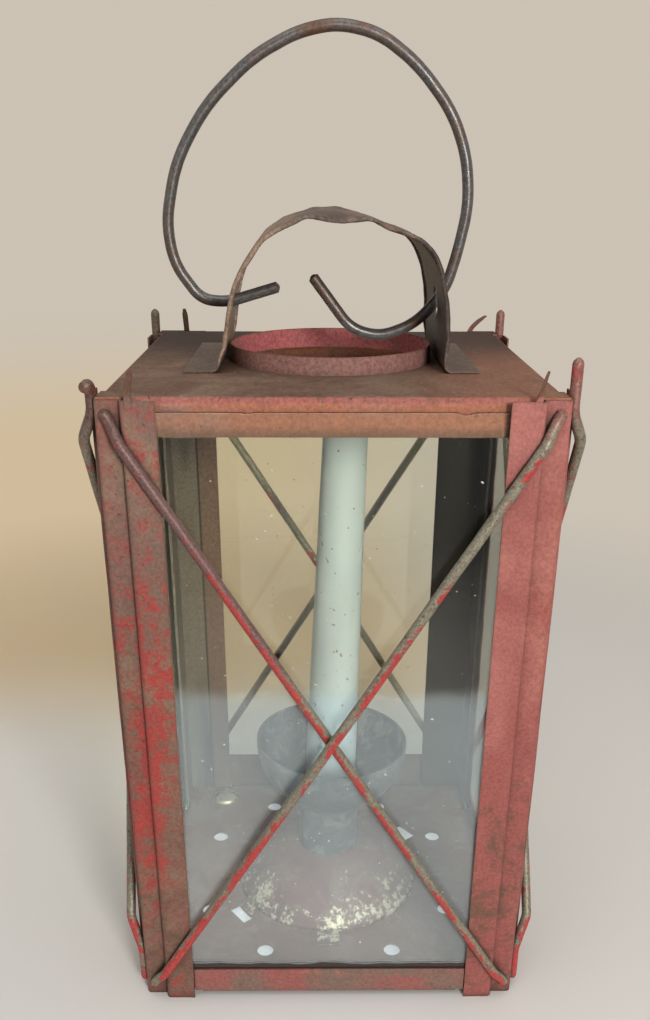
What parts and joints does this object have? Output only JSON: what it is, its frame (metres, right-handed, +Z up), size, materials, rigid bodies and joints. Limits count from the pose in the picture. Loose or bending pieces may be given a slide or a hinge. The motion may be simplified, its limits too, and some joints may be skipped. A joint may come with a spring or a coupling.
{
  "type": "candle lantern",
  "caption": "Square tin candle lantern with sliding glass panes, crossed guard wires, an arched chimney hood, a swinging wire bail and a candle on a twist-lock holder.",
  "frame": {"origin": "on the standing surface, below the middle of the square body", "axes": "+Z up, +X to the right of the face seen in the picture, +Y away from it"},
  "size_m": [0.163, 0.16, 0.3341],
  "materials": {
    "red_painted_tin": "worn red paint over grey-brown tin",
    "inner_tin": "sooted dark brown tin",
    "rail_tin": "dull worn red paint",
    "roof_tin": "dusty rust brown with a red top rail",
    "collar_tin": "dusty red paint",
    "hood_steel": "dark brown steel with worn edges",
    "bail_steel": "dull grey steel wire",
    "guard_wire_steel": "grey steel wire with flakes of red paint",
    "floor_tin": "dusty grey-pink worn paint",
    "dome_tin": "red-brown paint worn to bright tin along the rim",
    "socket_tin": "dull grey-red tin",
    "pane_glass": "clear, dusty",
    "candle_wax": "white wax",
    "wick_cotton": "bare cotton"
  },
  "bodies": {
    "lantern": {"roof_panel": "roof_tin", "chimney_collar": "collar_tin", "chimney_hood": "hood_steel", "floor_plate": "floor_tin", "corner_post_front_left": "red_painted_tin", "corner_post_front_right": "red_painted_tin", "corner_post_back_left": "red_painted_tin", "corner_post_back_right": "red_painted_tin", "inner_angle_front_left": "inner_tin", "inner_angle_front_right": "inner_tin", "inner_angle_back_left": "inner_tin", "inner_angle_back_right": "inner_tin", "bottom_rail_front": "rail_tin", "bottom_rail_right": "rail_tin", "bottom_rail_back": "rail_tin", "bottom_rail_left": "rail_tin", "guard_wire_front_inner": "guard_wire_steel", "guard_wire_front_outer": "guard_wire_steel", "guard_wire_right_inner": "guard_wire_steel", "guard_wire_right_outer": "guard_wire_steel", "guard_wire_back_inner": "guard_wire_steel", "guard_wire_back_outer": "guard_wire_steel", "guard_wire_left_inner": "guard_wire_steel", "guard_wire_left_outer": "guard_wire_steel"},
    "bail": {"bail_handle": "bail_steel"},
    "pane_front": {"glass_pane_front": "pane_glass"},
    "pane_right": {"glass_pane_right": "pane_glass"},
    "pane_back": {"glass_pane_back": "pane_glass"},
    "pane_left": {"glass_pane_left": "pane_glass"},
    "holder": {"candle_dome": "dome_tin", "holder_base": "dome_tin", "candle_socket": "socket_tin", "drip_cup": "socket_tin"},
    "candle": {"candle": "candle_wax", "candle_wick": "wick_cotton"}
  },
  "joints": [
    {"name": "bail_swing", "type": "hinge", "parent": "lantern", "child": "bail", "pos_m": [0, 0, 0.2497], "axis": [1, 0, 0], "range_deg": [-102, 102]},
    {"name": "pane_front_lift", "type": "slide", "parent": "lantern", "child": "pane_front", "axis": [0, 0, -1], "range_m": [-0.2, 0]},
    {"name": "pane_right_lift", "type": "slide", "parent": "lantern", "child": "pane_right", "axis": [0, 0, 1], "range_m": [0, 0.2]},
    {"name": "pane_back_lift", "type": "slide", "parent": "lantern", "child": "pane_back", "axis": [0, 0, 1], "range_m": [0, 0.2]},
    {"name": "pane_left_lift", "type": "slide", "parent": "lantern", "child": "pane_left", "axis": [0, 0, 1], "range_m": [0, 0.2]},
    {"name": "holder_twist", "type": "hinge", "parent": "lantern", "child": "holder", "pos_m": [0, 0, 0.002], "axis": [0, 0, 1], "range_deg": [-52, 0]},
    {"name": "candle_lift", "type": "slide", "parent": "holder", "child": "candle", "axis": [0.0314, 0, 0.9995], "range_m": [0, 0.015]}
  ]
}
